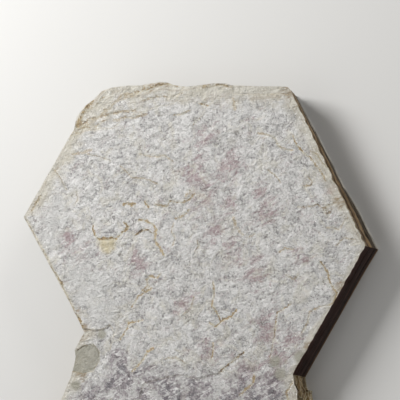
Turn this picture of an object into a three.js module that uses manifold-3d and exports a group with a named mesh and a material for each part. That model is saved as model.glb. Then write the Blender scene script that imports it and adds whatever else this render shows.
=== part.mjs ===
// A book of mica: a flat six-sided crystal with a second crystal flaring out below it. Both grew
// together as one piece of natural cleavage sheets, lying one on another like the leaves of a book.
// The piece lies on its flat back. Millimetres: X runs across the face from left to right, Y runs up
// it and Z points out of it. The origin is under the middle of the piece, on the flat back.

import * as THREE from "three";
import { mergeVertices } from "three/addons/utils/BufferGeometryUtils.js";
import Module from "manifold-3d";

const wasm = await Module();
wasm.setup();

// Driving sizes, in millimetres.

const THICKNESS = 13.0; // from the flat back to the front sheets
const LEDGE = 0.45; // how far one bundle of sheets stands out from, or falls back behind, the next
const BUNDLES = 8; // bundles of sheets between the back and the broken corner's first step
const RHYTHM = 2.4; // radians by which the rise and fall of the ledges shifts from bundle to bundle

const FIRST_STEP = 1.6; // depth of the broken corner's outer tab below the front sheets
const SECOND_STEP = 0.7; // depth of the broken corner's inner tab below the front sheets
const LOWER_SINK = 0.9; // depth of the lower crystal's face below the front sheets

// Corners of the six-sided crystal, about 120 mm from left to right. Opposite sides are nearly
// parallel. The sixth corner, at the top left, is worn round.
const TOP_RIGHT = [30.5, 63.0];
const RIGHT = [59.7, 12.1];
const NOTCH_RIGHT = [38.2, -29.8];
const NOTCH_LEFT = [-35.2, -19.4];
const LEFT = [-59.7, 18.2];

// The worn top left corner: the outline of the sheets that reach furthest, then the two lines along
// which the sheets in front of them have flaked away. Each runs from the left side to the top.
const WORN_CORNER = [
  [-44.0, 48.7], [-43.0, 52.8], [-40.5, 56.0], [-37.8, 58.7], [-34.8, 61.6], [-30.0, 63.0],
];
const FIRST_FLAKE = [
  [-43.8, 48.2], [-39.3, 50.1], [-36.1, 52.2], [-28.3, 58.3], [-21.3, 61.0], [-17.9, 63.0],
];
const SECOND_FLAKE = [
  [-44.6, 46.8], [-36.3, 49.0], [-30.1, 49.2], [-22.2, 54.0], [-17.3, 56.0], [-12.0, 63.0],
];

// Where the rear sheets are worn back at the top right corner: along the top, then down the side.
const WORN_TOP_RIGHT = [[24.0, 63.0], [28.8, 61.4], [34.8, 53.6]];

// A low crest of crumpled sheets along the top edge.
const CREST = [[-24.0, 62.0], [-20.5, 63.6], [-17.0, 64.2], [-13.7, 64.6], [-10.8, 63.7], [-9.0, 62.0]];
const SECOND_CREST = [[-4.0, 62.0], [-1.5, 63.5], [2.5, 64.0], [7.6, 63.8], [9.0, 62.0]];

// Where the six-sided crystal's front sheets break off over the lower crystal, from notch to notch.
const FRONT_BREAK = [
  [29.6, -35.4], [21.0, -38.6], [10.4, -33.0], [-1.2, -31.6], [-12.4, -34.6],
  [-14.2, -38.2], [-22.6, -34.4], [-24.4, -24.6], [-28.2, -18.8],
];

// The lower crystal, from the left notch down the flared side, across the broken end and up again.
const LOWER_LEFT_SIDE = [
  [-30.0, -14.0], [-35.4, -19.6], [-37.6, -24.0], [-38.1, -29.5], [-41.4, -41.5], [-45.6, -53.0],
];
const BROKEN_END = [
  [-43.2, -60.0], [-36.5, -61.8], [-30.2, -60.4], [-21.0, -64.6], [-9.4, -63.6], [-4.0, -59.2],
  [6.5, -60.4], [12.0, -63.8], [24.5, -62.0], [28.8, -57.4], [39.0, -58.8], [42.6, -54.5],
];
const LOWER_RIGHT_SIDE = [[43.6, -50.0], [40.2, -41.0], [39.6, -33.4], [37.6, -30.6], [30.0, -24.0]];

// A closed mesh as a solid that can be joined.
function solidOf(geometry) {
  const bare = geometry.clone();
  bare.deleteAttribute("normal");
  bare.deleteAttribute("uv");
  const merged = mergeVertices(bare, 1e-5);
  return new wasm.Manifold(new wasm.Mesh({
    numProp: 3,
    vertProperties: new Float32Array(merged.attributes.position.array),
    triVerts: new Uint32Array(merged.index.array),
  }));
}

// Sheets of one outline, stacked from one height to another.
function sheets(outline, bottom, top) {
  const shape = new THREE.Shape(outline.map(([x, y]) => new THREE.Vector2(x, y)));
  const stack = new THREE.ExtrudeGeometry(shape, { depth: top - bottom, bevelEnabled: false });
  stack.translate(0, 0, bottom);
  return solidOf(stack);
}

// The outline with each side moved outwards by a distance that depends on the way it faces, so that
// sides that are nearly in line move nearly alike. The points run clockwise.
function grown(outline, distanceOf) {
  const points = outline.map(([x, y]) => new THREE.Vector2(x, y));
  const count = points.length;
  const sides = points.map((start, side) => {
    const along = points[(side + 1) % count].clone().sub(start).normalize();
    const outwards = new THREE.Vector2(-along.y, along.x);
    const distance = distanceOf(outwards.angle());
    return { through: start.clone().addScaledVector(outwards, distance), along };
  });
  return sides.map((side, index) => {
    const before = sides[(index + count - 1) % count];
    const gap = side.through.clone().sub(before.through);
    const reach = gap.cross(side.along) / before.along.cross(side.along);
    const corner = before.through.clone().addScaledVector(before.along, reach);
    return [corner.x, corner.y];
  });
}

// The six-sided outline with its top right corner, its lower edge and its top left corner as given.
function sixSided(topRight, lowerEdge, topLeft) {
  return [...topRight, RIGHT, NOTCH_RIGHT, ...lowerEdge, NOTCH_LEFT, LEFT, ...topLeft];
}

// How far a side stands out on one bundle: the ledges rise and fall from bundle to bundle, and do
// so in a different order on each side.
function ledge(bundle, facing) {
  return -LEDGE * (0.5 + 0.5 * Math.sin(RHYTHM * bundle + 2 * facing));
}

function sixSidedCrystal() {
  const firstStep = THICKNESS - FIRST_STEP;
  const secondStep = THICKNESS - SECOND_STEP;
  let crystal = sheets(sixSided([TOP_RIGHT], FRONT_BREAK, SECOND_FLAKE), firstStep, THICKNESS);
  crystal = crystal.add(sheets(sixSided([TOP_RIGHT], [], FIRST_FLAKE), firstStep, secondStep));
  for (let bundle = 0; bundle < BUNDLES; bundle += 1) {
    const bottom = (firstStep * bundle) / BUNDLES;
    const top = (firstStep * (bundle + 1)) / BUNDLES;
    const inRear = bundle < BUNDLES / 2;
    const outline = sixSided(inRear ? WORN_TOP_RIGHT : [TOP_RIGHT], [], WORN_CORNER);
    const stack = sheets(grown(outline, (facing) => ledge(bundle, facing)), bottom, top);
    crystal = crystal.add(stack);
  }
  return crystal;
}

function lowerCrystal() {
  const outline = [...LOWER_LEFT_SIDE, ...BROKEN_END, ...LOWER_RIGHT_SIDE].reverse();
  const front = THICKNESS - LOWER_SINK;
  let crystal = sheets(outline, 0, front / BUNDLES);
  for (let bundle = 1; bundle < BUNDLES; bundle += 1) {
    const bottom = (front * bundle) / BUNDLES;
    const top = (front * (bundle + 1)) / BUNDLES;
    const stack = sheets(grown(outline, (facing) => ledge(bundle, facing)), bottom, top);
    crystal = crystal.add(stack);
  }
  return crystal;
}

function crests() {
  const low = sheets([...CREST].reverse(), THICKNESS * 0.25, THICKNESS * 0.8);
  const second = sheets([...SECOND_CREST].reverse(), THICKNESS * 0.4, THICKNESS * 0.88);
  return low.add(second);
}

// The joined solid's mesh, with flat faces.
function geometryOf(solid) {
  const mesh = solid.getMesh();
  const geometry = new THREE.BufferGeometry();
  geometry.setAttribute("position", new THREE.BufferAttribute(new Float32Array(mesh.vertProperties), 3));
  geometry.setIndex(new THREE.BufferAttribute(new Uint32Array(mesh.triVerts), 1));
  geometry.computeVertexNormals();
  return geometry;
}

function micaMaterial() {
  return new THREE.MeshStandardMaterial({ color: 0xbab7b4, roughness: 0.42, metalness: 0.0 });
}

const micaCrystal = new THREE.Mesh(
  geometryOf(sixSidedCrystal().add(lowerCrystal()).add(crests())),
  micaMaterial(),
);
micaCrystal.name = "mica_crystal";

const part = new THREE.Group();
part.add(micaCrystal);

export default part;
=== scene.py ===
# %% [markdown]
# # A book of mica
# A flat six-sided crystal of silvery lavender mica, grown together with a second crystal that flares
# out below it. Mica is made of sheets, like the leaves of a book, so nearly everything on it comes
# from sheets: the face is one sheet's surface, the steps on it are where sheets end, and the sides
# are hundreds of sheet edges. The frame gives the size and place, in metres.

# %% Load the frame
import math
import bmesh
import bpy
import numpy as np
from mathutils import Matrix, Vector, noise


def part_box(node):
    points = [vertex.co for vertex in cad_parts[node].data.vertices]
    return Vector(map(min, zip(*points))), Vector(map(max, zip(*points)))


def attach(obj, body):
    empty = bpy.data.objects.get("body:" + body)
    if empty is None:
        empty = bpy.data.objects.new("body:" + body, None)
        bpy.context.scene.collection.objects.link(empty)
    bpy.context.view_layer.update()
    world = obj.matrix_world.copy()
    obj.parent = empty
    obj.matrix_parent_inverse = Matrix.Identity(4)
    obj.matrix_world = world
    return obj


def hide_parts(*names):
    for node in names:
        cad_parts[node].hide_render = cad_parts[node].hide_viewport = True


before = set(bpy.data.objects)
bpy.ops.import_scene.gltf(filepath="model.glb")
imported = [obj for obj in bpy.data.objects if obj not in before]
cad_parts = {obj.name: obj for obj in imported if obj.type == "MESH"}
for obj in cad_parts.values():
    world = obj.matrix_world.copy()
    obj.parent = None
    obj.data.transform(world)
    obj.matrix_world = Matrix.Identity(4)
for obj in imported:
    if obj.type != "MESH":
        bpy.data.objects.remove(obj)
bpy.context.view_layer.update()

MM = 0.001
low, high = (Vector(corner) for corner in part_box("mica_crystal"))
THICK = high.z
print("frame box, mm:", [round(v / MM, 1) for v in (*low, *high)])

# %% [markdown]
# ## Camera
# The face is seen almost square on, from a little to the right and a little below, so that the two
# right-hand sides show as narrow bands. A long lens keeps opposite sides nearly parallel. The camera
# is made from its three axes: one points back from the face, one to the right, one up the picture.

# %% Camera
AIM = Vector((2.6 * MM, 25.4 * MM, THICK))
DISTANCE = 0.725
LENS = 200.0
TILT = math.radians(22.0)
TURN = math.radians(-18.0)
ROLL = math.radians(3.9)

back_axis = Vector((math.sin(TILT) * math.cos(TURN), math.sin(TILT) * math.sin(TURN), math.cos(TILT)))
level_right = Vector((0, 1, 0)).cross(back_axis).normalized()
level_up = back_axis.cross(level_right)
right_axis = level_right * math.cos(ROLL) + level_up * math.sin(ROLL)
up_axis = back_axis.cross(right_axis)
bpy.ops.object.select_all(action="DESELECT")
bpy.ops.object.camera_add()
camera = bpy.context.object
camera.name = "camera"
camera.data.lens = LENS
camera.data.sensor_width = 36.0
camera.data.clip_end = 20.0
turned = Matrix((right_axis, up_axis, back_axis)).transposed().to_4x4()
camera.matrix_world = Matrix.Translation(AIM + back_axis * DISTANCE) @ turned
bpy.context.scene.camera = camera
print("camera at, mm:", [round(v / MM) for v in camera.matrix_world.translation])

# %% [markdown]
# ## The outline
# The outline is a hexagon with one worn corner, above a waist of two notches and a flared foot that
# ends in a ragged break. Each stretch of it has a name, because each side has its own finish later.

# %% Outline in millimetres
TOP_RIGHT = (30.5, 63.2)
RIGHT = (high.x / MM, 12.1)
NOTCH_RIGHT = (38.2, -29.8)
NOTCH_LEFT = (-35.2, -19.4)
LEFT_PROUD = 0.7
LEFT = (low.x / MM - LEFT_PROUD, 18.2)
SIDES = {
    "upper right": [TOP_RIGHT, (31.6, 61.6), RIGHT],
    "lower right": [RIGHT, NOTCH_RIGHT],
    "right foot": [
        NOTCH_RIGHT, (38.9, -33.0), (39.9, -34.6), (40.2, -41.0), (43.4, -50.0), (42.6, -54.5),
    ],
    "broken end": [
        (42.6, -54.5), (39.0, -58.8), (34.0, -57.6), (28.8, -57.4), (24.5, -62.0), (12.0, -63.8),
        (6.5, -60.4), (-4.0, -59.2), (-9.4, -63.6), (-21.0, -64.4), (-30.2, -60.4), (-36.5, -61.8),
        (-43.2, -60.0),
    ],
    "left foot": [
        (-43.2, -60.0), (-45.6, -53.0), (-41.4, -41.5), (-38.9, -34.8), (-38.2, -31.0),
        (-37.7, -27.6), (-38.3, -25.6), (-37.0, -23.0), NOTCH_LEFT,
    ],
    "lower left": [NOTCH_LEFT, (-41.5, -9.4), LEFT],
    "upper left": [LEFT, (-44.4, 48.3)],
    "worn corner": [
        (-44.4, 48.3), (-43.9, 52.4), (-41.2, 56.2), (-38.0, 58.7), (-35.4, 61.4), (-32.0, 62.6),
    ],
    "top": [
        (-32.0, 62.6), (-26.4, 63.3), (-21.0, 63.4), (-18.0, 64.0), (-14.4, 64.5), (-11.8, 64.3),
        (-9.6, 63.5), (-5.0, 62.9), (1.6, 63.7), (5.0, 64.1), (9.4, 64.0), (10.6, 63.5), (20.0, 63.2),
        TOP_RIGHT,
    ],
}
SIDE_NAMES = list(SIDES)
segments = [
    (start, end, number)
    for number, name in enumerate(SIDE_NAMES)
    for start, end in zip(SIDES[name], SIDES[name][1:])
]
outline = [start for start, end, number in segments]
perimeter = sum(math.dist(start, end) for start, end, number in segments)
print("outline:", len(outline), "corners,", round(perimeter), "mm round")

# %% [markdown]
# ## Cutting the blank
# The face has to take fine relief everywhere, so it starts as a fine grid. The outline is scored into
# the grid one straight stretch at a time: the faces near the stretch are selected and bisected, and
# afterwards what lies outside is deleted. That leaves clean straight edges, where snapping grid points
# to the line would leave teeth. The same scoring marks where the sheets on the face end.

# %% Scoring helpers
CELL = 0.56 * MM
REACH_IN_CELLS = 1.6


def points_inside(points, polygon):
    """Which of the points lie inside the polygon, by counting crossings."""
    x, y = points[:, 0], points[:, 1]
    inside = np.zeros(len(points), bool)
    for (x1, y1), (x2, y2) in zip(polygon, polygon[1:] + polygon[:1]):
        if y1 == y2:
            continue
        crosses = (y1 > y) != (y2 > y)
        inside ^= crosses & (x < (x2 - x1) * (y - y1) / (y2 - y1) + x1)
    return inside


def distance_to(points, start, end):
    """Distance of each point from a straight stretch, and on which side of it the point lies."""
    along = np.subtract(end, start)
    offset = points - np.array(start)
    share = np.clip(offset @ along / (along @ along), 0, 1)
    away = offset - share[:, None] * along
    side = np.sign(along[0] * offset[:, 1] - along[1] * offset[:, 0])
    return np.hypot(away[:, 0], away[:, 1]), side


def pick_faces(obj, wanted):
    """In edit mode, selects only the faces for whose centres, in millimetres, wanted gives True."""
    bpy.ops.mesh.select_all(action="DESELECT")
    mesh = bmesh.from_edit_mesh(obj.data)
    mesh.faces.ensure_lookup_table()
    centres = np.array([face.calc_center_median()[:] for face in mesh.faces]) / MM
    picked = np.flatnonzero(wanted(centres))
    for index in picked:
        mesh.faces[index].select_set(True)
    bmesh.update_edit_mesh(obj.data)
    return len(picked)


def score(obj, path):
    """Cuts edges into the object's grid along a path in millimetres. The object is in edit mode."""
    reach = REACH_IN_CELLS * CELL / MM
    for start, end in zip(path, path[1:]):
        pick_faces(obj, lambda centres: distance_to(centres[:, :2], start, end)[0] < reach)
        across = Vector((start[1] - end[1], end[0] - start[0], 0)).normalized()
        bpy.ops.mesh.bisect(plane_co=Vector((*start, 0)) * MM, plane_no=across, threshold=1e-7)


# %% Grid and outline
MARGIN = 1.02
grid_size = (high - low) * MARGIN
bpy.ops.object.select_all(action="DESELECT")
columns = round(grid_size.x / CELL)
rows = round(grid_size.y / CELL)
bpy.ops.mesh.primitive_grid_add(x_subdivisions=columns, y_subdivisions=rows, size=1, location=(0, 0, 0))
book = bpy.context.object
book.name = "mica_book"
bpy.ops.object.mode_set(mode="EDIT")
bpy.ops.mesh.select_mode(type="FACE")
bpy.ops.mesh.select_all(action="SELECT")
bpy.ops.transform.resize(value=(grid_size.x, grid_size.y, 1))
score(book, outline + outline[:1])
waste = pick_faces(book, lambda centres: ~points_inside(centres, outline))
bpy.ops.mesh.delete(type="FACE")
print("grid of", columns, "by", rows, "- blank cut out,", waste, "faces of waste")

# %% [markdown]
# ## Where sheets end
# On the face, whole sheets have flaked away: two tabs at the worn corner, a strip along the top, the
# break beside the left notch, windows in the foot, and stairs down to the broken end. Each is an area
# bounded by a torn path. The path is scored twice, a hair apart, and later everything past the second
# line goes down by the thickness of the lost sheets, so the edge stays sharp and nearly upright.

# %% Torn paths
RISER = 0.16
TOOTH = 2.6
STAIR_TOOTH = 1.5
STAIR_DEPTH = 3


def jagged(path, wander, seed, tooth=TOOTH):
    """The path with points added between its own and shifted a little, as a torn sheet's edge wanders."""
    result = [path[0]]
    for step, (start, end) in enumerate(zip(path, path[1:])):
        length = math.dist(start, end)
        across = np.array((start[1] - end[1], end[0] - start[0])) / length
        pieces = max(1, round(length / tooth))
        for piece in range(1, pieces):
            point = np.array(start) + (np.array(end) - start) * piece / pieces
            point += across * wander * noise.noise(Vector((seed, step * 3.7, piece * 1.31)))
            result.append(tuple(point))
        result.append(end)
    return result


def shifted(path, distance):
    """The path moved sideways, to its left."""
    result = []
    for index, point in enumerate(path):
        before = np.array(path[max(index - 1, 0)])
        along = path[min(index + 1, len(path) - 1)] - before
        result.append(tuple(point + np.array((-along[1], along[0])) * distance / np.hypot(*along)))
    return result


# Each area: its torn edge, the rest of its boundary, its depth in mm, how far the edge wanders.
STEPS = {
    "outer tab": (
        [
            (-45.6, 47.0), (-39.3, 50.1), (-36.1, 52.2), (-33.8, 54.6), (-28.3, 58.3), (-21.3, 61.0),
            (-18.4, 65.0),
        ],
        [(-30, 70), (-55, 60)], 0.32, 0.9,
    ),
    "inner tab": (
        [
            (-46.2, 46.0), (-36.3, 48.2), (-31.0, 48.6), (-27.6, 51.2), (-22.4, 54.2), (-15.0, 56.2),
            (-9.0, 57.4), (-4.0, 66),
        ],
        [(-30, 72), (-60, 60)], 0.2, 0.8,
    ),
    "top strip": (
        [
            (11.0, 65.5), (11.4, 60.6), (20.0, 60.5), (29.4, 60.6), (33.0, 60.2),
        ],
        [(36, 62), (36, 68), (12, 68)], 0.15, 0.25,
    ),
    "left notch": (
        [
            (-38.0, -18.2), (-31.8, -18.6), (-28.6, -18.3), (-26.2, -16.6), (-24.4, -19.0),
            (-25.6, -25.0),
        ],
        [(-29.0, -34.0), (-42.0, -36.0), (-46.0, -20.0)], 0.22, 0.8,
    ),
    "dark window": (
        [
            (-14.8, -43.0), (-13.6, -39.0), (-13.0, -36.1), (-12.2, -34.9), (-7.1, -33.4), (-1.1, -31.9),
            (6.8, -32.7), (13.5, -30.7),
        ],
        [(16.0, -36.0), (10.0, -45.0), (-3.0, -47.0), (-12.0, -46.0)], 0.1, 0.9,
    ),
    "round window": (
        [
            (-38.4, -32.6), (-34.6, -33.1), (-31.1, -32.1), (-29.1, -28.8), (-29.3, -25.5),
            (-31.8, -23.1), (-34.9, -23.7), (-37.4, -25.4),
        ],
        [(-42.0, -26.0), (-41.0, -33.0)], 0.2, 0.3,
    ),
    "first stair": (
        [
            (-48, -53.5), (-38, -55.0), (-31, -52.0), (-22, -57.5), (-12, -56.0), (-6, -52.5), (6, -54.5),
            (14, -57.0), (24, -54.0), (32, -50.5), (40, -52.0), (48, -47),
        ],
        [(60, -60), (50, -80), (-60, -80), (-60, -60)], 3.2, 2.2,
    ),
    "second stair": (
        [
            (-50, -57.0), (-38, -58.6), (-30, -56.4), (-20, -61.0), (-10, -59.8), (-4, -56.4), (7, -57.6),
            (14, -60.6), (25, -58.0), (31, -54.0), (38, -55.8), (50, -51),
        ],
        [(60, -62), (50, -80), (-60, -80), (-60, -62)], 3.6, 2.0,
    ),
}

# %% Score the steps
step_areas = {}
for number, (name, (edge, rest, depth, wander)) in enumerate(STEPS.items()):
    torn = jagged(edge, wander, number + 0.5, STAIR_TOOTH if depth > STAIR_DEPTH else TOOTH)
    foot_line = shifted(torn, RISER)
    if not points_inside(np.array([foot_line[len(torn) // 2]]), torn + rest)[0]:
        foot_line = shifted(torn, -RISER)
    score(book, torn)
    score(book, foot_line)
    step_areas[name] = (torn, torn + rest, depth)
bpy.ops.object.mode_set(mode="OBJECT")
print("steps scored, faces now:", len(book.data.polygons))

# %% [markdown]
# ## From a sheet to a book
# The cut sheet is extruded to its full thickness, which gives a face, a back and one strip of sides.
# The strip's upright edges are then subdivided into rows. Two rows share each height where a bundle of
# sheets ends, so that moving the rows in and out makes real ledges with flat treads between them. The
# back needs few faces, since it is one flat cleavage, so it is thinned out.

# %% Thickness, rows and back
BUNDLES = 16
BACK_KEPT = 0.05
bpy.ops.object.mode_set(mode="EDIT")
bpy.ops.mesh.select_all(action="SELECT")
bpy.ops.mesh.extrude_region_move(TRANSFORM_OT_translate={"value": (0, 0, THICK)})
bpy.ops.mesh.select_all(action="SELECT")
bpy.ops.mesh.normals_make_consistent(inside=False)
bpy.ops.mesh.select_all(action="DESELECT")
bpy.ops.mesh.select_mode(type="EDGE")
mesh = bmesh.from_edit_mesh(book.data)
for edge in mesh.edges:
    if abs(edge.verts[0].co.z - edge.verts[1].co.z) > THICK / 2:
        edge.select_set(True)
bmesh.update_edit_mesh(book.data)
bpy.ops.mesh.subdivide(number_cuts=2 * BUNDLES - 2)
bpy.ops.mesh.select_mode(type="FACE")


def well_inside_back(centres):
    distances = [distance_to(centres[:, :2], start, end)[0] for start, end, number in segments]
    clear = np.min(distances, axis=0)
    return (centres[:, 2] < 0.001) & (clear > 2 * CELL / MM)


pick_faces(book, well_inside_back)
bpy.ops.mesh.decimate(ratio=BACK_KEPT)
bpy.ops.object.mode_set(mode="OBJECT")
triangles = sum(len(face.vertices) - 2 for face in book.data.polygons)
print("book:", len(book.data.vertices), "points,", triangles, "triangles")

# %% [markdown]
# ## Ledges on the sides
# Every bundle of sheets ends at its own distance from the outline, and the distance wanders along the
# side and breaks off in chips. How rough a side is depends on which it is: the lower right one is a
# smooth crystal face, the others are layered, and the foot and its broken end are splintery. Where the
# face steps down, the bundles above it are gone, so their rows fall together on to the new edge and
# are merged.

# %% Measures of every point
def coordinates(obj):
    flat = np.empty(len(obj.data.vertices) * 3)
    obj.data.vertices.foreach_get("co", flat)
    return flat.reshape(-1, 3) / MM


def nearest_side(points):
    """Distance of each point from the outline, and the number of the side that is nearest."""
    best = np.full(len(points), 1e9)
    side = np.zeros(len(points), int)
    for start, end, number in segments:
        distance = distance_to(points, start, end)[0]
        side = np.where(distance < best, number, side)
        best = np.minimum(distance, best)
    return best, side


ON_OUTLINE = 0.02
points = coordinates(book)
rim, side = nearest_side(points[:, :2])
spacing = 1 / (2 * BUNDLES - 1)
row = np.rint(points[:, 2] / (THICK / MM) / spacing).astype(int)
on_side = rim < ON_OUTLINE
on_face = row == 2 * BUNDLES - 1
print("points on the sides:", int(on_side.sum()), "on the face:", int(on_face.sum()))

# %% Outward direction at every point of the sides
across = np.zeros((len(points), 2))
for start, end, number in segments:
    close = distance_to(points[:, :2], start, end)[0] < ON_OUTLINE
    along = np.subtract(end, start) / math.dist(start, end)
    across[close] += (-along[1], along[0])
across /= np.maximum(np.hypot(across[:, 0], across[:, 1]), 1e-9)[:, None]

# %% Height of the face
RELIEF_ROOM = 0.12
FACE = THICK / MM - RELIEF_ROOM
face_height = np.full(len(points), FACE)
for name, (torn, area, depth) in step_areas.items():
    inside = points_inside(points[:, :2], area)
    distances = [distance_to(points[:, :2], start, end)[0] for start, end in zip(torn, torn[1:])]
    face_height -= depth * (inside & (np.min(distances, axis=0) > 0.9 * RISER))
print("face height, mm:", round(face_height.min(), 2), "to", round(face_height.max(), 2))

# %% Rows moved into ledges
# How far the ledges of each side stand back, in mm. Splintery sides are rougher than 0.5.
ROUGHNESS = {
    "upper right": 0.35, "lower right": 0.07, "right foot": 0.9, "broken end": 1.0, "left foot": 0.6,
    "lower left": 0.35, "upper left": 0.3, "worn corner": 0.5, "top": 0.45,
}
SPLINTERY = 0.5
rng = np.random.default_rng(7)
thickness = rng.uniform(0.35, 1.6, BUNDLES)
levels = np.concatenate([[0], np.cumsum(thickness) / thickness.sum()]) * FACE
set_back = rng.uniform(0.0, 0.9, BUNDLES)
set_back[[0, -1]] = 0.1
bundle = np.minimum(row // 2, BUNDLES - 1)
level = levels[(row + 1) // 2]
rough = np.array([ROUGHNESS[name] for name in SIDE_NAMES])[side]
ragged = np.zeros(len(points))
splinters = np.zeros(len(points))
for index in np.flatnonzero(on_side):
    x, y, b = points[index, 0], points[index, 1], bundle[index]
    slow = noise.noise(Vector((x / 9, y / 9, b * 5.7)))
    quick = noise.noise(Vector((x / 2.2, y / 2.2, b * 9.1)))
    ragged[index] = slow + 0.5 * quick
    splinters[index] = max(0.0, noise.noise(Vector((x / 1.3, y / 1.3, b * 3.3))))
chipped = np.clip(ragged - 0.35, 0, 1) * 2.5
splinters *= np.where(rough > SPLINTERY, 1.3, 0.3)
outward = -rough * (set_back[bundle] + 0.55 * ragged + chipped + splinters)
inner_row = (row > 0) & (row < 2 * BUNDLES - 2)
outward *= np.where(inner_row, 1.0, np.where(row == 0, 0.0, 0.15))
on_top = level >= face_height - 1e-4
outward = np.where(on_top, 0.0, outward)

# %% [markdown]
# ## Wear on the right-hand sides
# Both right-hand sides are in full view. The upper one leans, in towards the back at the top corner and
# a little out at the other, and the face edge of both is worn into low waves. Every point near these
# sides is moved, not only the points on them, because a side that leans without its neighbours would
# fold over the back.

# %% Lean and waves
LEAN_PLACES = (12, 25, 33, 45, 62)
LEAN_OF_BACK = (-0.5, -0.3, 0.6, 0.9, 1.8)
LEAN_REACH = 7
WAVE_REACH = 4


def worn_back(points):
    """How far each point moves inwards from its side, in mm, as steps in x and y."""
    height = points[:, 2] / (THICK / MM)
    total = np.zeros((len(points), 2))
    for start, end, wave_size, leans in ((TOP_RIGHT, RIGHT, 0.9, 1), (RIGHT, NOTCH_RIGHT, 0.45, 0)):
        along = np.subtract(end, start) / math.dist(start, end)
        distance = distance_to(points[:, :2], start, end)[0]
        lean = np.interp(points[:, 1], LEAN_PLACES, LEAN_OF_BACK) * (1 - height) * leans
        lean *= np.clip(1 - distance / LEAN_REACH, 0, 1)
        for index in np.flatnonzero((distance < WAVE_REACH) & (height > 0.5)):
            y = points[index, 1]
            wave = noise.noise(Vector((y / 6, 4.2, 0))) + 0.6 * noise.noise(Vector((y / 1.7, 8.2, 0)))
            fading = height[index] ** 2 * (1 - distance[index] / WAVE_REACH)
            lean[index] += wave_size * abs(wave) * fading
        total += lean[:, None] * (along[1], -along[0])
    return total


# %% Move the points and merge what meets
moved = points.copy()
moved[on_side, :2] += across[on_side] * outward[on_side, None]
moved[on_side, 2] = np.minimum(level, face_height)[on_side]
moved[:, :2] += worn_back(points)
moved[on_face, 2] = face_height[on_face]
book.data.vertices.foreach_set("co", (moved * MM).ravel())
book.data.update()
book.select_set(True)
bpy.context.view_layer.objects.active = book
bpy.ops.object.mode_set(mode="EDIT")
bpy.ops.mesh.select_all(action="SELECT")
bpy.ops.mesh.remove_doubles(threshold=0.004 * MM)
bpy.ops.mesh.dissolve_degenerate(threshold=0.002 * MM)
bpy.ops.mesh.normals_make_consistent(inside=False)
bpy.ops.object.mode_set(mode="OBJECT")
print("book with ledges:", len(book.data.vertices), "points,", len(book.data.polygons), "faces")

# %% [markdown]
# ## Relief of the face
# A mica face is never a clean plane. It has a slow swell, a crumple a few millimetres across where the
# sheets buckled, and a fine crinkle on top of that. Three displace modifiers give the three sizes, each
# with its own procedural texture, and only on the face.

# %% Displace the face
def group_of(obj, name, weights):
    group = obj.vertex_groups.new(name=name)
    for index in np.flatnonzero(weights > 0):
        group.add([int(index)], float(weights[index]), "REPLACE")


def displace(obj, group, kind, size, strength, **settings):
    """Moves a group of points up and down with a procedural texture, and applies it. Sizes in mm."""
    texture = bpy.data.textures.new(f"{group} {kind.lower()}", kind)
    texture.noise_scale = size * MM
    for name, value in settings.items():
        setattr(texture, name, value)
    modifier = obj.modifiers.new(texture.name, "DISPLACE")
    modifier.texture = texture
    modifier.strength = strength * MM
    modifier.mid_level = 0.5
    modifier.direction = "Z"
    modifier.vertex_group = group
    bpy.ops.object.modifier_apply(modifier=modifier.name)
    bpy.data.textures.remove(texture)


points = coordinates(book)
rim, side = nearest_side(points[:, :2])
normals = np.empty(len(points) * 3)
book.data.vertices.foreach_get("normal", normals)
facing_up = normals.reshape(-1, 3)[:, 2]
lowest_stair = FACE - sum(depth for torn, area, depth in step_areas.values() if depth > STAIR_DEPTH)
off_the_ledges = (rim > 0.3) | (points[:, 2] > FACE - 1.2)
upper = (facing_up > 0.2) & (points[:, 2] > lowest_stair - 0.9) & off_the_ledges
group_of(book, "face", upper.astype(float))
displace(book, "face", "CLOUDS", 22.0, 0.35)
ridges = {"musgrave_type": "RIDGED_MULTIFRACTAL", "octaves": 3, "noise_intensity": 0.6}
displace(book, "face", "MUSGRAVE", 5.0, 0.16, **ridges)
displace(book, "face", "CLOUDS", 1.9, 0.16, noise_depth=2)
print("face relief, mm:", coordinates(book)[:, 2].max().round(2))
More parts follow.
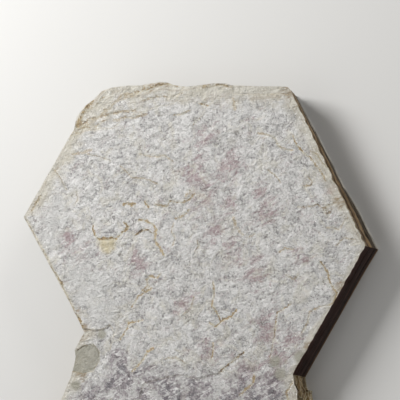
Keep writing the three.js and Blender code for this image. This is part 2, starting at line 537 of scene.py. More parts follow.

# %% [markdown]
# ## Cracks
# Iron-stained cracks run across the face: the edges of small sheets that have lifted a little, with
# golden to dark brown rust in them. Each is a short path, listed below. Every point of the mesh is
# told how far it is from the nearest crack, on which side, and how wide and dark that crack is, so that
# the material can draw a line much finer than the mesh. The mesh itself gets the low step that a lifted
# sheet makes.

# %% Crack paths in millimetres: path, width, strength, darkness
CRACKS = [
    ([(-34.8, 15.8), (-34.1, 13.2), (-32.6, 11.6), (-30.4, 12.0), (-26.1, 12.0),
      (-24.2, 14.0), (-22.0, 15.8), (-23.6, 17.4)], 0.42, 1.0, 0.35),
    ([(-32.8, 11.9), (-29.6, 11.6), (-26.2, 12.1)], 0.3, 1.0, 1.0),
    ([(-24.4, 23.3), (-23.2, 23.9), (-21.8, 23.2), (-20.6, 23.7)], 0.55, 0.9, 0.2),
    ([(-16.6, 24.2), (-15.6, 22.9)], 0.6, 0.9, 0.3),
    ([(-13.2, 23.6), (-9.0, 23.0), (-8.0, 25.0), (-3.5, 24.5), (-1.0, 25.5), (0.2, 27.4)], 0.3, 0.7, 0.4),
    ([(-5.4, 19.2), (-2.5, 20.5), (-1.0, 22.0)], 0.3, 0.7, 0.5),
    ([(-6.2, 17.4), (-6.6, 15.0), (-5.2, 12.6), (-5.8, 10.4)], 0.26, 0.5, 0.2),
    ([(-18.6, 18.2), (-16.4, 18.4), (-13.5, 17.0), (-12.0, 15.6), (-12.4, 12.0),
      (-10.5, 9.4), (-8.6, 7.0)], 0.45, 0.75, 0.0),
    ([(-19.0, 13.6), (-16.8, 15.0), (-15.0, 15.3), (-13.8, 14.4)], 0.34, 0.9, 1.0),
    ([(-14.6, -14.6), (-19.4, -15.6), (-20.1, -18.1), (-22.1, -21.0)], 0.34, 0.85, 0.45),
    ([(-9.6, 0.6), (-10.8, -0.6), (-13.0, 0.0), (-14.2, -1.4), (-13.6, -3.2),
      (-15.4, -5.0)], 0.3, 0.75, 0.5),
    ([(-12.4, -4.2), (-14.8, -5.6), (-17.0, -7.0), (-17.6, -8.6), (-19.0, -10.6)], 0.32, 0.75, 0.4),
    ([(9.0, -1.5), (9.6, -5.5), (9.1, -8.8), (11.0, -11.0), (12.2, -13.2)], 0.3, 0.9, 0.4),
    ([(17.6, -10.0), (16.0, -12.2), (13.4, -13.2), (11.0, -15.6), (8.8, -14.6)], 0.4, 0.95, 0.35),
    ([(10.5, -21.2), (10.6, -23.6), (10.4, -25.7)], 0.28, 0.85, 0.2),
    ([(13.0, -30.8), (14.7, -28.7), (18.3, -25.7), (21.2, -23.4)], 0.28, 0.95, 0.9),
    ([(35.8, -7.4), (33.6, -9.0), (31.6, -10.2), (31.2, -14.5), (31.1, -18.0)], 0.26, 0.85, 0.7),
    ([(31.2, -17.0), (30.7, -20.7), (30.1, -24.7)], 0.2, 0.5, 0.8),
    ([(52.0, -5.4), (48.6, -7.2), (45.6, -8.0), (42.4, -9.5), (42.0, -13.0),
      (40.2, -16.4)], 0.26, 0.7, 0.7),
    ([(21.1, 47.7), (23.9, 47.5), (27.1, 46.2), (28.3, 43.6), (30.7, 42.6), (33.1, 42.3)], 0.28, 0.6, 0.3),
    ([(33.1, 46.9), (34.3, 44.3), (37.6, 41.1), (39.3, 40.2)], 0.32, 0.9, 0.45),
    ([(39.3, 40.2), (41.2, 37.9), (43.7, 35.0), (44.9, 32.8)], 0.3, 0.65, 0.25),
    ([(39.6, 42.1), (42.0, 40.8), (44.9, 37.3), (48.5, 34.2), (51.0, 28.4)], 0.24, 0.5, 0.4),
    ([(37.9, 30.7), (40.3, 31.1), (40.4, 32.4), (39.1, 33.6)], 0.24, 0.6, 0.4),
    ([(25.4, 35.7), (28.2, 33.8), (29.7, 31.9)], 0.24, 0.5, 0.2),
    ([(36.4, 23.9), (41.0, 24.3), (43.0, 25.0), (44.4, 23.8), (48.0, 25.0), (51.4, 29.0)], 0.22, 0.5, 0.4),
    ([(50.0, 12.0), (52.4, 14.6), (55.4, 14.0)], 0.24, 0.5, 0.4),
    ([(53.0, 20.6), (50.6, 17.0), (46.4, 17.6)], 0.24, 0.5, 0.5),
    ([(45.0, 6.4), (47.6, 3.0), (48.4, 0.4), (51.0, -3.0), (50.4, -6.0)], 0.38, 0.8, 0.4),
    ([(31.0, 9.4), (33.0, 10.6), (35.4, 10.2)], 0.3, 0.6, 0.1),
    ([(14.6, 20.0), (16.0, 16.4), (18.0, 14.6)], 0.6, 0.45, 0.0),
    ([(-38.6, 40.0), (-35.0, 39.4), (-30.4, 38.0)], 0.18, 0.55, 1.0),
    ([(-20.0, 40.4), (-16.6, 39.6), (-11.0, 40.0), (-8.0, 38.0)], 0.24, 0.4, 0.1),
    ([(-26.4, 36.0), (-22.4, 32.6), (-17.6, 32.2), (-13.0, 30.6)], 0.26, 0.45, 0.2),
    ([(-8.6, 53.4), (-6.0, 53.8), (-3.4, 55.0)], 0.24, 0.65, 0.5),
    ([(-1.5, 50.5), (1.0, 53.0)], 0.2, 0.45, 0.8),
    ([(0.0, 57.4), (2.8, 56.8)], 0.34, 0.8, 0.7),
    ([(11.6, 59.0), (12.6, 55.6)], 1.1, 0.35, 0.0),
    ([(-44.0, 48.6), (-42.6, 52.1), (-40.2, 56.2), (-38.6, 58.4)], 0.8, 0.75, 0.3),
    ([(-42.8, 49.4), (-39.2, 51.6), (-35.1, 52.8), (-30.8, 53.9), (-26.2, 54.6),
      (-22.6, 55.0)], 0.7, 0.55, 0.55),
    ([(-34.0, 55.0), (-30.6, 57.0), (-28.0, 60.0), (-22.0, 60.8)], 0.6, 0.4, 0.2),
    ([(-43.6, 47.0), (-40.6, 48.8), (-36.4, 49.4), (-33.0, 51.6)], 0.34, 0.55, 0.6),
    ([(-41.0, 54.0), (-37.4, 56.4), (-34.6, 59.4)], 0.3, 0.5, 0.7),
    ([(-30.0, 51.4), (-26.4, 52.6), (-22.8, 52.4), (-18.6, 53.6)], 0.5, 0.5, 0.4),
    ([(-20.0, 58.4), (-15.6, 59.6), (-10.0, 59.4), (-6.4, 60.8)], 0.34, 0.5, 0.6),
    ([(-23.4, 61.2), (-17.8, 62.6), (-12.5, 64.2), (-8.0, 63.4)], 0.6, 0.8, 0.7),
    ([(1.0, 62.8), (5.0, 63.6), (9.8, 63.2)], 0.4, 0.6, 0.7),
    ([(-10.4, -23.8), (-12.1, -24.7), (-13.6, -27.6), (-16.9, -31.4)], 0.5, 0.85, 0.05),
    ([(-5.4, -26.6), (-2.0, -26.2), (1.0, -27.6)], 0.24, 0.5, 0.2),
    ([(25.1, -31.0), (24.8, -33.4), (22.4, -35.5), (20.8, -37.2)], 0.45, 0.8, 0.3),
    ([(41.5, -25.8), (38.6, -31.1), (36.3, -35.6), (37.3, -38.4)], 0.34, 0.75, 0.5),
    ([(-0.4, -12.0), (2.0, -9.6), (2.6, -6.6)], 0.24, 0.5, 0.4),
    ([(-48.8, 2.2), (-46.3, -1.2), (-44.3, -3.9)], 0.5, 0.9, 0.8),
    ([(-38.1, -13.8), (-36.6, -16.2), (-35.5, -18.2)], 0.45, 0.9, 0.75),
    ([(-59.9, 18.0), (-54.0, 9.6), (-50.6, 5.0), (-44.0, -5.0), (-41.3, -9.2),
      (-38.2, -14.2)], 0.16, 0.55, 0.7),
    ([(-57.6, 20.4), (-56.6, 22.4), (-54.8, 25.6)], 0.4, 0.5, 0.4),
    ([(-50.6, 34.6), (-48.0, 31.8), (-45.4, 27.8)], 0.16, 0.5, 0.4),
    ([(-41.6, 27.0), (-41.0, 24.8), (-42.0, 22.6)], 0.26, 0.6, 1.0),
    ([(-44.0, 40.0), (-40.6, 40.4), (-37.6, 41.6)], 0.5, 0.4, 0.1),
    ([(-24.0, -41.0), (-27.0, -47.0), (-22.0, -52.0)], 0.3, 0.6, 0.4),
    ([(2.0, -42.0), (8.0, -46.0), (9.0, -52.0)], 0.3, 0.6, 0.4),
    ([(28.0, -41.0), (31.0, -46.0)], 0.36, 0.7, 0.3),
    ([(45.4, 22.6), (46.2, 24.6), (48.4, 25.6)], 0.4, 0.8, 1.0),
    ([(46.4, 21.8), (47.6, 23.4)], 0.3, 0.7, 0.9),
    ([(20.6, 14.0), (22.0, 14.8)], 0.3, 0.7, 1.0),
    ([(2.0, 8.6), (3.2, 10.4), (2.6, 12.0)], 0.24, 0.6, 0.9),
    ([(-2.6, 26.8), (-1.2, 28.2)], 0.34, 0.6, 0.1),
    ([(33.6, 2.0), (36.4, 0.6), (38.0, 2.2)], 0.24, 0.5, 0.8),
]
WANDER = 0.55
lines = [(jagged(path, WANDER, number * 1.7), *rest) for number, (path, *rest) in enumerate(CRACKS)]
for path, area, depth in step_areas.values():
    if depth < STAIR_DEPTH:
        lines.append((path, 0.22, 1.1 * depth, 0.3))

# %% Distances from the cracks
face_xy = points[:, :2]
near = np.full(len(points), 9.0)
marks = {name: np.zeros(len(points)) for name in ("line", "width", "stain", "tone")}
for path, width, strength, darkness in lines:
    for start, end in zip(path, path[1:]):
        distance, hand = distance_to(face_xy, start, end)
        closer = distance < near
        near = np.where(closer, distance, near)
        values = {"line": hand * distance, "width": width, "stain": strength, "tone": darkness}
        for name, value in values.items():
            marks[name] = np.where(closer, value, marks[name])
marks["near"] = near

# %% Patches of colour and of painted sheen: the middle and the reach of each, in mm
PATCHES = {
    "lilac": [
        (10.6, 35.4, 5), (13.1, 38.8, 4), (23.1, 29.1, 3), (1.7, 37.9, 4), (-1.5, 33.6, 4),
        (23.3, 1.5, 4.5), (22.0, 5.7, 3), (8.5, 15.7, 4), (13.1, 24.0, 4), (29.6, -15.9, 6),
        (36.5, -18.8, 5), (38.0, 8.4, 3), (2.9, 45.2, 4), (-17.0, 4.0, 4), (-44.0, 12.0, 3),
        (-38.5, 6.0, 4), (26.0, 22.0, 5), (31.0, -24.0, 6), (-1.0, -9.0, 4), (46.7, 29.6, 3),
        (16.0, 8.0, 5), (24.0, -30.0, 6), (32.0, -31.0, 6), (8.0, -24.0, 5), (4.0, 28.0, 5),
    ],
    "foot": [
        (-22.0, -28.6, 4.5), (-12.0, -33.5, 5), (-19.4, -38.0, 9), (-5.2, -38.0, 8), (6.8, -37.0, 7),
        (18.9, -39.0, 8), (30.8, -38.0, 7), (-30.0, -42.0, 6), (-10.0, -46.0, 12), (14.0, -48.0, 12),
        (-26.0, -50.0, 12), (32.0, -50.0, 12), (0.0, -58.0, 14), (-36.0, -58.0, 12), (22.0, -60.0, 12),
    ],
    "green": [
        (31.9, -26.1, 3.6), (-29.0, -20.0, 3), (40.0, -24.0, 3.4), (-36.6, -37.0, 3), (34.0, -30.0, 3.6),
    ],
    "earth": [
        (-43.6, 50.0, 2), (-39.7, 56.2, 2), (-17.8, 64.0, 2), (-12.5, 65.0, 2.5), (3.0, 65.0, 2.5),
        (7.0, 65.0, 2), (-46.0, 3.5, 1.5), (-41.6, -3.0, 1.5), (-37.5, -12.0, 1.5), (-35.2, -18.0, 2),
        (-35.0, -33.4, 2), (-36.6, -21.0, 2), (-38.0, -29.0, 1.6), (52.0, -0.5, 2.5), (50.6, 26.0, 2),
        (31.0, 61.5, 2.5), (42.6, -21.0, 1.6),
    ],
    "halo": [
        (-30.4, 10.0, 2.4), (-27.8, 10.2, 2.4), (-29.2, 8.4, 2.2),
    ],
    # Painted sheen: where the face is made paler for its pearly lustre
    "pearl_sheen": [
        (-34.0, -5.4, 7), (-29.0, -12.0, 6), (-39.0, 1.0, 6), (-49.0, 20.0, 6), (-50.0, 12.0, 5),
    ],
}
for name, blobs in PATCHES.items():
    strongest = np.zeros(len(points))
    for x, y, reach in blobs:
        squared = (face_xy[:, 0] - x) ** 2 + (face_xy[:, 1] - y) ** 2
        strongest = np.maximum(strongest, np.exp(-squared / reach ** 2))
    marks[name] = strongest
round_window = points_inside(face_xy, step_areas["round window"][1])
marks["green"] = np.maximum(0.8 * marks["green"], round_window)

# %% The weathered rim
# The cream rim is wider on some sides: distances from the outline are divided by these numbers.
RIM_WIDTH = {
    "upper right": 0.62, "lower right": 0.30, "right foot": 0.6, "broken end": 0.6, "left foot": 0.6,
    "lower left": 0.20, "upper left": 0.75, "worn corner": 1.6, "top": 1.0,
}
marks["rim"] = rim / np.array([RIM_WIDTH[name] for name in SIDE_NAMES])[side]
for name, values in marks.items():
    layer = book.data.attributes.new(name, "FLOAT", "POINT")
    layer.data.foreach_set("value", values.astype(np.float32))
print("lines:", len(lines), "patches:", {name: len(blobs) for name, blobs in PATCHES.items()})

# %% A low step at every crack
moved = coordinates(book)
LIFTED = 0.13
SUNK = -0.10
lift = marks["stain"] * np.exp(-((near - 0.45) / 0.5) ** 2)
lift *= np.where(marks["line"] > 0, LIFTED, SUNK)
groove = SUNK * marks["stain"] * np.exp(-(near / 0.35) ** 2)
moved[:, 2] += np.where(upper & (near < 3), lift + groove, 0)
book.data.vertices.foreach_set("co", (moved * MM).ravel())
book.data.update()

# %% [markdown]
# ## Materials
# Every finish is built from nodes on Object coordinates, in millimetres, so that a pattern's size can
# be read straight off the number. The helpers below each add one kind of node and return its output.

# %% Node helpers
def new_material(name):
    """A material, its node tree, its shader and its object coordinates in millimetres."""
    material = bpy.data.materials.new(name)
    material.use_nodes = True
    tree = material.node_tree
    place = tree.nodes.new("ShaderNodeTexCoord").outputs["Object"]
    scaled = add(tree, "ShaderNodeMapping", {}, {"Vector": place, "Scale": (1000, 1000, 1000)})
    return material, tree, tree.nodes["Principled BSDF"], scaled.outputs["Vector"]


def add(tree, kind, settings, inputs):
    """A node with its settings made and each input either linked or given a value."""
    node = tree.nodes.new(kind)
    for name, value in settings.items():
        setattr(node, name, value)
    for name, value in inputs.items():
        if isinstance(value, bpy.types.NodeSocket):
            tree.links.new(value, node.inputs[name])
        else:
            node.inputs[name].default_value = value
    return node


def grain(tree, place, size, detail=4.0, roughness=0.6, distortion=0.0):
    """Noise with blotches of about the given size in millimetres."""
    inputs = {"Vector": place, "Scale": 1 / size, "Detail": detail, "Roughness": roughness}
    inputs["Distortion"] = distortion
    return add(tree, "ShaderNodeTexNoise", {}, inputs).outputs["Fac"]


def stretched(tree, place, longer, turn=0.0):
    """Makes a pattern longer along each axis, after turning the axes about the upright one."""
    inputs = {"Vector": place, "Scale": longer, "Rotation": (0, 0, math.radians(turn))}
    return add(tree, "ShaderNodeMapping", {"vector_type": "TEXTURE"}, inputs).outputs["Vector"]


def ramp(tree, factor, stops, smooth=False):
    """A colour ramp. Each stop is a place and a grey value or a colour."""
    node = add(tree, "ShaderNodeValToRGB", {}, {"Fac": factor})
    node.color_ramp.interpolation = "EASE" if smooth else "LINEAR"
    elements = node.color_ramp.elements
    while len(elements) < len(stops):
        elements.new(0.5)
    for element, (place, value) in zip(elements, stops):
        element.position = place
        element.color = (*value, 1) if isinstance(value, tuple) else (value, value, value, 1)
    return node.outputs["Color"]


def between(tree, value, start, end):
    """0 below start, 1 above end, smooth between. Start may lie above end."""
    inputs = {"Value": value, "From Min": start, "From Max": end, "To Min": 0.0, "To Max": 1.0}
    return add(tree, "ShaderNodeMapRange", {"interpolation_type": "SMOOTHSTEP"}, inputs).outputs["Result"]


def maths(tree, operation, first, second=0.0):
    node = add(tree, "ShaderNodeMath", {"operation": operation}, {0: first, 1: second})
    return node.outputs[0]


def times(tree, first, second):
    return maths(tree, "MULTIPLY", first, second)


def plus(tree, first, second):
    return maths(tree, "ADD", first, second)


def minus(tree, first, second):
    return maths(tree, "SUBTRACT", first, second)


def blend(tree, factor, first, second, kind="MIX"):
    inputs = {"Factor": factor}
    node = add(tree, "ShaderNodeMix", {"data_type": "RGBA", "blend_type": kind}, inputs)
    for socket, value in ((node.inputs[6], first), (node.inputs[7], second)):
        if isinstance(value, bpy.types.NodeSocket):
            tree.links.new(value, socket)
        else:
            socket.default_value = (*value, 1)
    return node.outputs[2]


def tint(tree, colour, where, strength, other):
    """The colour with another one over it where the first value is high, up to a strength."""
    return blend(tree, times(tree, where, strength), colour, other)


def read(tree, name):
    return add(tree, "ShaderNodeAttribute", {"attribute_name": name}, {}).outputs["Fac"]


def bump(tree, height, distance, strength=1.0, normal=None):
    """Distance is in millimetres."""
    inputs = {"Height": height, "Distance": distance * MM, "Strength": strength}
    if normal:
        inputs["Normal"] = normal
    return add(tree, "ShaderNodeBump", {}, inputs).outputs["Normal"]


# %% [markdown]
# ## The pearly face
# Silvery grey in fine mottles, since each tiny buckle of the top sheet catches the light its own way.
# Lilac shows through in soft patches, a cream rim follows the crystal's edge where the sheets have
# weathered, and the foot is darker and glossier. The cracks are drawn last, over everything.

# %% Face material
SILVER_DARK = (0.235, 0.228, 0.226)
SILVER = (0.510, 0.500, 0.486)
SILVER_LIGHT = (0.710, 0.700, 0.684)
# Painted shade for the creases, and also the colour of the small dark specks
CREASE_SHADE_AND_SPECK = (0.150, 0.135, 0.120)
# The colour of the painted highlights and glints below
GLINT = (0.880, 0.870, 0.850)
PEARL_SHEEN = (0.600, 0.595, 0.575)
GREENISH = (0.330, 0.315, 0.250)
HALO = (0.560, 0.455, 0.200)
FOOT_DARK = (0.075, 0.062, 0.080)
FOOT_MIDDLE = (0.250, 0.208, 0.222)
LILAC_GREY = (0.300, 0.192, 0.200)
CREAM = (0.585, 0.550, 0.450)
EARTH = (0.270, 0.190, 0.105)
RUST_GOLD = (0.470, 0.340, 0.150)
RUST_DARK = (0.105, 0.068, 0.040)
OLIVE = (0.470, 0.425, 0.270)


def creases(tree, place, size, distortion=1.0, detail=3.0):
    """0 along thin wandering lines, rising to about 1 between them."""
    value = grain(tree, place, size, detail, 0.55, distortion)
    return times(tree, maths(tree, "ABSOLUTE", minus(tree, value, 0.5)), 7.0)


def face_material():
    material, tree, shader, place = new_material("pearly mica face")
    swept = stretched(tree, place, (1.06, 0.9, 1.0), 30)
    turned = stretched(tree, place, (1, 1, 1), 77)
    fine = grain(tree, place, 0.7, 4, 0.7)
    coarse = grain(tree, swept, 3.0, 7, 0.78, 0.5)
    large = creases(tree, swept, 4.5, 1.0, 5)
    small = creases(tree, turned, 2.4, 1.4, 4)

    mottle = plus(tree, times(tree, coarse, 0.6), times(tree, fine, 0.4))
    colour = ramp(tree, mottle, [(0.40, SILVER_DARK), (0.475, SILVER), (0.55, SILVER_LIGHT)])
    smeared = grain(tree, stretched(tree, place, (1.7, 0.85, 1.0), 30), 3.0, 6, 0.85, 0.5)
    patch = plus(tree, smeared, times(tree, read(tree, "lilac"), 0.16))
    colour = tint(tree, colour, between(tree, patch, 0.545, 0.71), 0.78, LILAC_GREY)
    yellowed = grain(tree, turned, 5.5, 5, 0.7, 1.0)
    colour = tint(tree, colour, between(tree, yellowed, 0.48, 0.66), 0.5, CREAM)

    # Painted shade: dark lines in the creases of the crumple. Painted highlight: thin pale lines along a
    # finer set of creases. Both stand for raking light on the relief.
    gathered = between(tree, grain(tree, turned, 6.0, 3), 0.42, 0.62)
    painted_crease_shade = between(tree, plus(tree, large, times(tree, fine, 0.4)), 0.36, 0.18)
    painted_crease_shade = times(tree, painted_crease_shade, gathered)
    colour = tint(tree, colour, painted_crease_shade, 0.9, CREASE_SHADE_AND_SPECK)
    painted_crease_highlight = between(tree, plus(tree, small, times(tree, fine, 0.4)), 0.36, 0.16)
    colour = tint(tree, colour, painted_crease_highlight, 0.6, GLINT)

    wet = between(tree, plus(tree, read(tree, "foot"), times(tree, patch, 1.2)), 0.80, 1.25)
    cloudy = grain(tree, turned, 4.6, 6, 0.74)
    dark_foot = ramp(tree, cloudy, [(0.42, FOOT_DARK), (0.50, FOOT_MIDDLE), (0.57, SILVER)])
    colour = tint(tree, colour, wet, 0.8, dark_foot)
    # Painted highlight: thin bright glint lines scattered over the darker foot
    gaps = between(tree, grain(tree, swept, 2.6, 3), 0.44, 0.56)
    for turn, seen in ((28, 0.55), (-40, 0.35)):
        scratch_glint = creases(tree, stretched(tree, place, (5.0, 0.7, 1.0), turn), 2.4, 1.4, 2)
        scratch_glint = times(tree, between(tree, scratch_glint, 0.42, 0.14), times(tree, wet, gaps))
        colour = tint(tree, colour, scratch_glint, seen, GLINT)
    # Painted sheen: paler patches at the left, where the pearly lustre catches the window light
    pearl_sheen = between(tree, plus(tree, read(tree, "pearl_sheen"), times(tree, coarse, 0.8)), 0.60, 1.10)
    colour = tint(tree, colour, pearl_sheen, 0.55, PEARL_SHEEN)

    ragged_rim = minus(tree, read(tree, "rim"), times(tree, grain(tree, place, 4.5, 5, 0.65), 14.0))
    colour = tint(tree, colour, between(tree, ragged_rim, 2.0, -6.0), 0.65, CREAM)
    growth = add(tree, "ShaderNodeCombineXYZ", {}, {"X": read(tree, "rim")}).outputs["Vector"]
    slow_place = stretched(tree, place, (7, 7, 7))
    growth = add(tree, "ShaderNodeVectorMath", {}, {0: growth, 1: slow_place}).outputs["Vector"]
    growth = between(tree, grain(tree, growth, 0.9, 4, 0.7), 0.50, 0.62)
    growth = times(tree, growth, between(tree, ragged_rim, 1.0, -4.0))
    colour = tint(tree, colour, growth, 0.35, EARTH)
    streaky = grain(tree, stretched(tree, place, (3.2, 0.8, 1.0), 24), 1.3, 4, 0.6, 0.6)
    earthy = plus(tree, streaky, times(tree, read(tree, "earth"), 0.30))
    earthy = times(tree, between(tree, earthy, 0.58, 0.80), between(tree, read(tree, "rim"), 16.0, 6.0))
    colour = tint(tree, colour, earthy, 0.7, EARTH)

    speck = grain(tree, place, 0.9, 2, 0.5)
    colour = tint(tree, colour, between(tree, speck, 0.66, 0.74), 0.6, CREASE_SHADE_AND_SPECK)
    # Painted highlight: tiny bright flecks, where facets would catch the light
    glint = grain(tree, turned, 0.8, 2, 0.5)
    colour = tint(tree, colour, between(tree, glint, 0.64, 0.73), 0.8, GLINT)

    window = between(tree, plus(tree, read(tree, "green"), times(tree, coarse, 0.6)), 0.75, 1.05)
    colour = tint(tree, colour, window, 0.85, GREENISH)
    uneven_halo = between(tree, plus(tree, read(tree, "halo"), times(tree, coarse, 1.4)), 0.85, 1.7)
    colour = tint(tree, colour, uneven_halo, 0.6, HALO)
    colour = crack_colour(tree, place, colour)
    tree.links.new(colour, shader.inputs["Base Color"])

    rough = ramp(tree, grain(tree, place, 1.3, 3), [(0.38, 0.30), (0.62, 0.60)])
    rough = minus(tree, rough, times(tree, wet, 0.12))
    tree.links.new(rough, shader.inputs["Roughness"])
    crumple = plus(tree, times(tree, coarse, 3.0), times(tree, small, 0.3))
    crumple = plus(tree, crumple, times(tree, large, 0.4))
    normal = bump(tree, crumple, 0.36, 1.0)
    normal = bump(tree, fine, 0.32, 0.9, normal)
    normal = bump(tree, between(tree, read(tree, "near"), 0.0, 0.35), 0.15, 0.7, normal)
    tree.links.new(normal, shader.inputs["Normal"])
    shader.inputs["Specular IOR Level"].default_value = 0.6
    shader.inputs["Coat Weight"].default_value = 0.15
    shader.inputs["Coat Roughness"].default_value = 0.3
    return material


def crack_colour(tree, place, colour):
    """Draws the cracks: an uneven stain, a thin broken line along the middle, and a painted highlight
    beside it.
    """
    near = read(tree, "near")
    stain = read(tree, "stain")
    uneven = grain(tree, place, 1.5, 4, 0.75)
    rust = blend(tree, read(tree, "tone"), RUST_GOLD, RUST_DARK)
    golden = between(tree, grain(tree, place, 1.1, 2), 0.58, 0.45)
    rust = blend(tree, times(tree, golden, 0.7), rust, RUST_GOLD)
    spread = between(tree, plus(tree, near, times(tree, uneven, 2.4)), 1.9, 0.9)
    spread = times(tree, times(tree, spread, stain), 0.7)
    colour = blend(tree, spread, colour, OLIVE)
    wobble = times(tree, minus(tree, grain(tree, place, 1.0, 4, 0.75), 0.5), 2.0)
    off_line = maths(tree, "ABSOLUTE", plus(tree, read(tree, "line"), wobble))
    width = times(tree, read(tree, "width"), times(tree, between(tree, uneven, 0.40, 0.60), 1.3))
    line = between(tree, minus(tree, off_line, width), 0.10, -0.10)
    close = times(tree, between(tree, near, 0.8, 0.5), stain)
    colour = tint(tree, colour, line, close, rust)
    broken = times(tree, close, between(tree, grain(tree, place, 0.9, 3), 0.44, 0.54))
    core = between(tree, minus(tree, off_line, times(tree, width, 0.3)), 0.06, -0.06)
    colour = tint(tree, colour, core, times(tree, broken, 0.75), RUST_DARK)
    # Painted highlight: a thin bright line beside the crack, for the lifted sheet's edge catching the
    # light
    beside = minus(tree, plus(tree, read(tree, "line"), wobble), plus(tree, width, 0.16))
    lit = between(tree, maths(tree, "ABSOLUTE", beside), 0.17, 0.07)
    return tint(tree, colour, lit, times(tree, broken, 0.8), GLINT)


# %% [markdown]
# ## Sheet edges
# Seen from the side, a book of mica is striped: every bundle of sheets has its own colour, held all
# along the side. The stripes come from noise that is stretched along the side and squeezed through the
# thickness, over a ramp that runs from the back to the face. One recipe makes all four kinds of edge.
# Part of it is painted light and shade: the lower right edge is made darker than its own colour, as
# painted shade, and the pale stripes of the upper right edge and of the golden foot are made lighter,
# as painted light, since both lie in shadow.

# %% Edge materials
def edge_material(name, through, streaks_and_highlights, gloss, contrast, relief, streak_start=0.56):
    """Through: the ramp's stops from back to face. Streaks and highlights: a colour for scattered sheets.
    """
    material, tree, shader, place = new_material(name)
    banded = stretched(tree, place, (20, 20, 0.4))
    bands = grain(tree, banded, 1.0, 5, 0.75)
    fine_bands = grain(tree, stretched(tree, place, (4, 4, 0.11)), 1.0, 3, 0.6)
    height = add(tree, "ShaderNodeSeparateXYZ", {}, {"Vector": place}).outputs["Z"]
    share = maths(tree, "DIVIDE", height, THICK / MM)
    share = plus(tree, share, times(tree, minus(tree, bands, 0.5), contrast))
    colour = ramp(tree, share, through)
    colour = blend(tree, between(tree, fine_bands, streak_start, streak_start + 0.14), colour, streaks_and_highlights)
    shade = ramp(tree, fine_bands, [(0.30, 0.45), (0.60, 1.0)])
    colour = blend(tree, 0.8, colour, shade, "MULTIPLY")
    worn = grain(tree, stretched(tree, place, (1, 1, 0.4)), 4.0, 4)
    patchy = ramp(tree, worn, [(0.38, 0.35), (0.56, 1.0)])
    colour = blend(tree, 0.7, colour, patchy, "MULTIPLY")
    tree.links.new(colour, shader.inputs["Base Color"])
    rough = ramp(tree, fine_bands, [(0.3, gloss), (0.7, gloss + 0.2)])
    tree.links.new(rough, shader.inputs["Roughness"])
    normal = bump(tree, fine_bands, relief, 0.8)
    normal = bump(tree, grain(tree, place, 0.7, 4), 0.1, 0.5, normal)
    tree.links.new(normal, shader.inputs["Normal"])
    shader.inputs["Specular IOR Level"].default_value = 0.15
    return material


MATERIALS = {
    "face": face_material(),
    # Partly painted light: the pale stripes and the pale line at the back are made lighter than the
    # sheets' own tan, since this side lies in shadow from the window light.
    "layered": edge_material(
        "layered right edge",
        [(0.0, (0.80, 0.77, 0.70)), (0.07, (0.70, 0.66, 0.58)), (0.10, (0.040, 0.030, 0.024)),
         (0.30, (0.15, 0.11, 0.07)), (0.42, (0.035, 0.024, 0.016)), (0.58, (0.48, 0.33, 0.18)),
         (0.74, (0.085, 0.038, 0.020)), (0.94, (0.62, 0.50, 0.33))],
        streaks_and_highlights=(0.42, 0.37, 0.29), gloss=0.45, contrast=0.22, relief=0.25),
    # Partly painted shade: the side's own dark red-brown, made darker still because it faces away from the
    # window light.
    "prism_in_painted_shade": edge_material(
        "dark prism face",
        [(0.0, (0.36, 0.25, 0.14)), (0.07, (0.20, 0.11, 0.06)), (0.12, (0.030, 0.012, 0.008)),
         (0.32, (0.034, 0.011, 0.007)), (0.38, (0.105, 0.055, 0.042)), (0.44, (0.030, 0.010, 0.007)),
         (0.92, (0.050, 0.013, 0.008)), (1.0, (0.20, 0.09, 0.045))],
        streaks_and_highlights=(0.070, 0.030, 0.020), gloss=0.40, contrast=0.06, relief=0.08),
    "weathered": edge_material(
        "weathered edge",
        [(0.0, (0.36, 0.31, 0.23)), (0.25, (0.22, 0.16, 0.09)), (0.45, (0.42, 0.38, 0.30)),
         (0.62, (0.17, 0.115, 0.06)), (0.78, (0.45, 0.41, 0.33)), (1.0, (0.62, 0.58, 0.48))],
        streaks_and_highlights=(0.55, 0.52, 0.44), gloss=0.40, contrast=0.45, relief=0.25),
    # Partly painted light: the pale stops and the near-white streaks are made lighter than the sheets' own
    # gold, as painted highlights, since the foot's sides lie in the book's shadow.
    "golden": edge_material(
        "golden splintery edge",
        [(0.0, (0.72, 0.60, 0.40)), (0.14, (0.17, 0.10, 0.045)), (0.34, (0.52, 0.37, 0.18)),
         (0.52, (0.22, 0.13, 0.06)), (0.72, (0.62, 0.47, 0.26)), (0.88, (0.12, 0.07, 0.035)),
         (1.0, (0.66, 0.58, 0.42))],
        streaks_and_highlights=(0.85, 0.76, 0.56), gloss=0.35, contrast=0.40, relief=0.3, streak_start=0.50),
}
FINISH = {
    "upper right": "layered", "lower right": "prism_in_painted_shade", "right foot": "golden", "broken end": "golden",
    "left foot": "golden", "lower left": "weathered", "upper left": "weathered",
    "worn corner": "weathered", "top": "weathered",
}

# %% [markdown]
# ## Which face has which finish
# Faces that look up or down are the pearly cleavage. A face on a side, or on a riser of the stairs at
# the broken end, takes the finish of the side that its middle is nearest to. So do the small treads
# between the bundles, because they are only the torn edges of sheets.

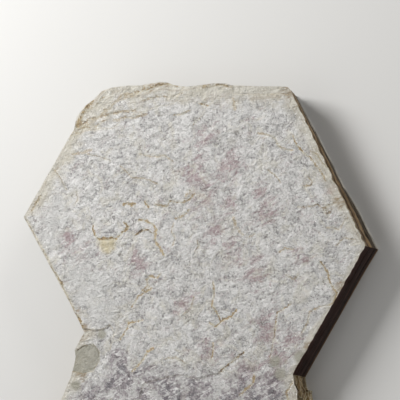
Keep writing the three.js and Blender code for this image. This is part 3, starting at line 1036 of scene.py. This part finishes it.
# %% Finishes on the book
for material in MATERIALS.values():
    book.data.materials.append(material)
numbers = {name: index for index, name in enumerate(MATERIALS)}
centres = np.empty(len(book.data.polygons) * 3)
book.data.polygons.foreach_get("center", centres)
centres = centres.reshape(-1, 3) / MM
upright = np.empty(len(book.data.polygons) * 3)
book.data.polygons.foreach_get("normal", upright)
upright = upright.reshape(-1, 3)[:, 2]
from_rim, near_side = nearest_side(centres[:, :2])
edge_finish = np.array([numbers[FINISH[name]] for name in SIDE_NAMES])[near_side]
STAIRS_BELOW = -48
steepness = np.abs(upright)
height = centres[:, 2]
is_side = (steepness < 0.75) & ((from_rim < 2.5) | (height < FACE - 2))
is_side |= (steepness < 0.6) & (centres[:, 1] < STAIRS_BELOW)
is_side |= (from_rim < 2.0) & (height < FACE - 1.6) & (height > 0.3)
book.data.polygons.foreach_set("material_index", np.where(is_side, edge_finish, numbers["face"]))
bpy.ops.object.select_all(action="DESELECT")
book.select_set(True)
bpy.context.view_layer.objects.active = book
bpy.ops.object.shade_smooth_by_angle(angle=math.radians(38))
print("faces on the sides:", int(is_side.sum()), "of", len(is_side))

# %% [markdown]
# ## Loose sheets at the foot
# On the right of the foot, and along the broken end, single sheets have come loose and stand out from
# the side by a millimetre or two. Each is a thin slab: a cube at the sheet's place and size, subdivided,
# with its ends drawn in to a blunt point and its outline moved by noise so that it looks torn.

# %% Loose sheets: middle in mm, length, width and thickness in mm, direction of the length in degrees
LOOSE = [
    ((40.0, -38.6, 1.4), (9.0, 3.4, 0.7), 88),
    ((40.0, -40.2, 3.6), (11.0, 3.2, 0.8), 84),
    ((40.4, -42.0, 6.2), (9.0, 2.8, 0.6), 96),
    ((42.2, -47.6, 2.6), (9.0, 3.6, 0.8), 104),
    ((41.6, -46.4, 8.4), (7.0, 2.8, 0.5), 100),
    ((39.4, -37.0, 9.6), (6.0, 2.0, 0.5), 90),
    ((41.4, -45.0, 10.8), (6.0, 1.6, 0.4), 104),
    ((30.0, -58.0, 2.6), (9.0, 3.4, 0.6), 4),
    ((8.0, -61.2, 3.8), (10.0, 3.6, 0.6), -6),
    ((-14.0, -62.8, 2.0), (11.0, 3.0, 0.5), 3),
    ((-33.0, -60.2, 4.2), (8.0, 3.2, 0.5), -5),
]
CUTS = 15


def loose_sheet(number, place, size, direction):
    length, width, thickness = size
    bpy.ops.object.select_all(action="DESELECT")
    bpy.ops.mesh.primitive_cube_add(size=1)
    sheet = bpy.context.object
    sheet.name = f"loose_sheet_{number}"
    bpy.ops.object.mode_set(mode="EDIT")
    bpy.ops.mesh.select_all(action="SELECT")
    bpy.ops.mesh.subdivide(number_cuts=CUTS)
    bpy.ops.object.mode_set(mode="OBJECT")
    turn = Matrix.Rotation(math.radians(direction), 3, "Z")
    for vertex in sheet.data.vertices:
        u, v, w = vertex.co
        tear = noise.noise(Vector((u * 5, number * 3.1, v)))
        tear += 0.5 * noise.noise(Vector((u * 17, number * 5.3, v)))
        spread = v * (1 - 3.2 * abs(u) ** 3) * (1 + 0.7 * tear)
        wave = 0.35 * noise.noise(Vector((u * 3, v * 3, number * 2.7)))
        local = Vector((u * length, spread * width, w * thickness + wave))
        vertex.co = (turn @ local + Vector(place)) * MM
    sheet.data.materials.append(MATERIALS["golden"])
    bpy.ops.object.shade_smooth_by_angle(angle=math.radians(35))
    return sheet


sheets = [loose_sheet(number + 1, *values) for number, values in enumerate(LOOSE)]
print("loose sheets:", len(sheets))

# %% [markdown]
# ## On to the frame
# The crystal is one piece, so the book and its loose sheets ride on the one body, and the book stands
# for the plain solid.

# %% Keep the pieces on the frame
for piece in [book] + sheets:
    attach(piece, "root")
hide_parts("mica_crystal")

# %% [markdown]
# ## Floor, light and background
# The crystal lies on plain pale paper. Low relief only shows when light rakes across it, so the main
# light is a small one, low on the upper left, like a window. A large weak one fills the shadows, and
# a third from behind on the right puts a thin bright line on the sheet edges.

# %% Floor
bpy.ops.object.select_all(action="DESELECT")
bpy.ops.mesh.primitive_plane_add(size=6.0, location=(0, 0, 0))
floor = bpy.context.object
floor.name = "floor"
paper = bpy.data.materials.new("pale paper")
paper.use_nodes = True
paper.node_tree.nodes["Principled BSDF"].inputs["Base Color"].default_value = (0.60, 0.595, 0.58, 1)
paper.node_tree.nodes["Principled BSDF"].inputs["Roughness"].default_value = 0.9
floor.data.materials.append(paper)

# %% Light
def area_light(name, place, aim, size, power):
    bpy.ops.object.select_all(action="DESELECT")
    bpy.ops.object.light_add(type="AREA")
    lamp = bpy.context.object
    lamp.name = name
    lamp.data.size = size
    lamp.data.energy = power
    lamp.location = place
    lamp.rotation_euler = (Vector(aim) - Vector(place)).to_track_quat("-Z", "Y").to_euler()


area_light("window light", (-0.31, 0.22, 0.30), aim=(0, 0.02, 0), size=0.22, power=2.72)
area_light("fill light", (-0.6, -0.6, 0.9), aim=(0, 0, 0), size=1.2, power=2.0)
area_light("edge light", (0.42, 0.70, 0.32), aim=(0, 0, 0), size=0.30, power=2.0)
print("lights: 3")
world = bpy.data.worlds.new("studio")
world.use_nodes = True
world.node_tree.nodes["Background"].inputs["Color"].default_value = (1.0, 0.985, 0.96, 1)
world.node_tree.nodes["Background"].inputs["Strength"].default_value = 0.26
bpy.context.scene.world = world
bpy.context.scene.view_settings.view_transform = "Standard"
